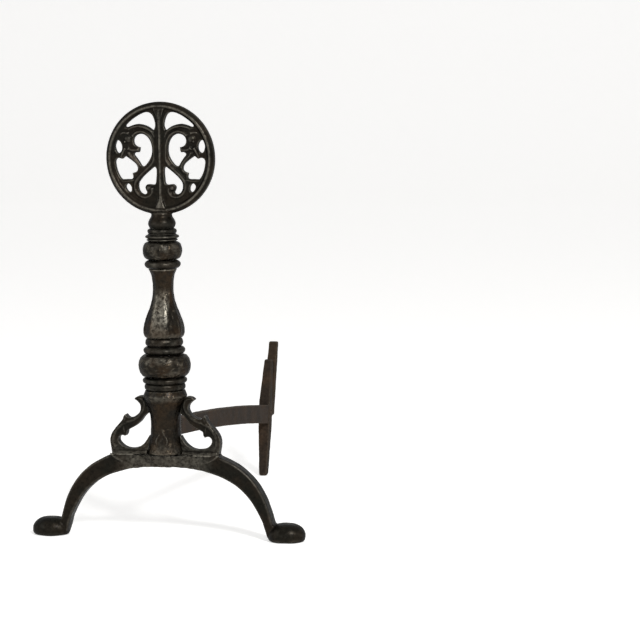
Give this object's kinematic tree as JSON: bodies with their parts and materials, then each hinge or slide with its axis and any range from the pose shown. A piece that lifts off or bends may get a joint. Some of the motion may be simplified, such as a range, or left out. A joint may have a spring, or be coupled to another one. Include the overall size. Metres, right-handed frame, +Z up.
{
  "type": "andiron",
  "caption": "Cast-iron andiron: arched two-footed front with scroll brackets, turned column and pierced roundel finial, and a billet bar running back to a rear leg and log stop.",
  "frame": {"origin": "centre of the bounding box on the hearth floor; the column's axis stands in front of it at Y -0.28749", "axes": "+X to the right seen from the room, +Y back into the fireplace along the billet bar, +Z up"},
  "size_m": [0.399, 0.649, 0.612],
  "materials": {
    "patinated_iron": "waxed dark bronze-brown patina, satin",
    "hammered_iron": "chased and hammered, waxed dark patina with rubbed grey highlights",
    "forged_iron": "bare forged iron, brown oxide, matte",
    "dark_steel": "blackened steel, matte"
  },
  "bodies": {
    "root": {"leg_arch": "patinated_iron", "pedestal": "hammered_iron", "bracket_left": "patinated_iron", "bracket_right": "patinated_iron", "bracket_screw_left": "dark_steel", "bracket_screw_right": "dark_steel", "base_ring_lower": "patinated_iron", "base_ring_upper": "patinated_iron", "lower_knop": "hammered_iron", "waist_ring_lower": "patinated_iron", "waist_ring_upper": "patinated_iron", "vase_baluster": "hammered_iron", "vase_collar": "patinated_iron", "upper_knop": "hammered_iron", "upper_bead_ring": "patinated_iron", "stem_ring": "patinated_iron", "finial_roundel": "patinated_iron", "tie_rod": "dark_steel", "tie_washer": "dark_steel", "tie_nut": "dark_steel", "billet_bar": "forged_iron", "rear_leg": "forged_iron", "tail_stop": "forged_iron", "leg_rivet": "forged_iron", "tail_rivet": "forged_iron"}
  },
  "joints": []
}
